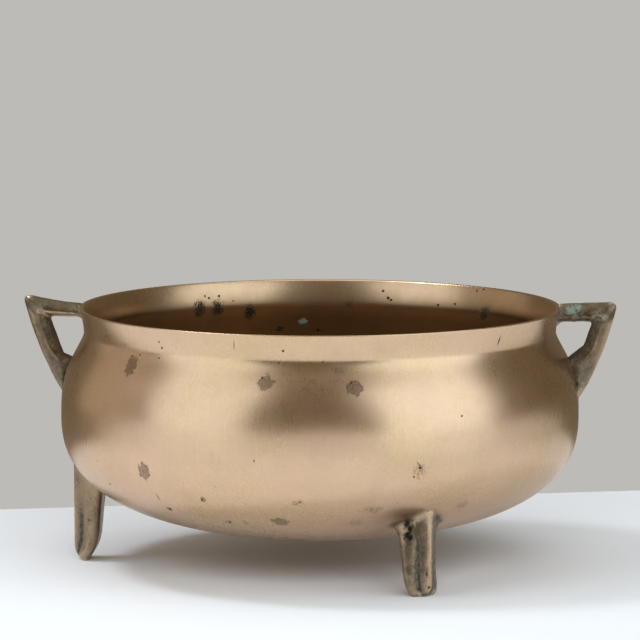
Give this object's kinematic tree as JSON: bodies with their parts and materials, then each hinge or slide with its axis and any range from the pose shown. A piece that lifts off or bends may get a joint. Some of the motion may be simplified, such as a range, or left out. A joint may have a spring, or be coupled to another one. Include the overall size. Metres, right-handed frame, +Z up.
{
  "type": "tripod cauldron",
  "caption": "Wide, low-bellied cast bronze cooking cauldron with a short upright collar, angular side handles and short fluted feet; stands over embers or hangs by its handles.",
  "frame": {"origin": "on the ground under the middle of the bowl", "axes": "+Z up, the handles lie along X, one foot is under the handle on the -X side"},
  "size_m": [0.446, 0.3894, 0.2005],
  "materials": {
    "bronze": "worn satin cast bronze, brown stains, casting pits, green and grey corrosion in the hollows"
  },
  "bodies": {
    "root": {"cauldron": "bronze"}
  },
  "joints": []
}
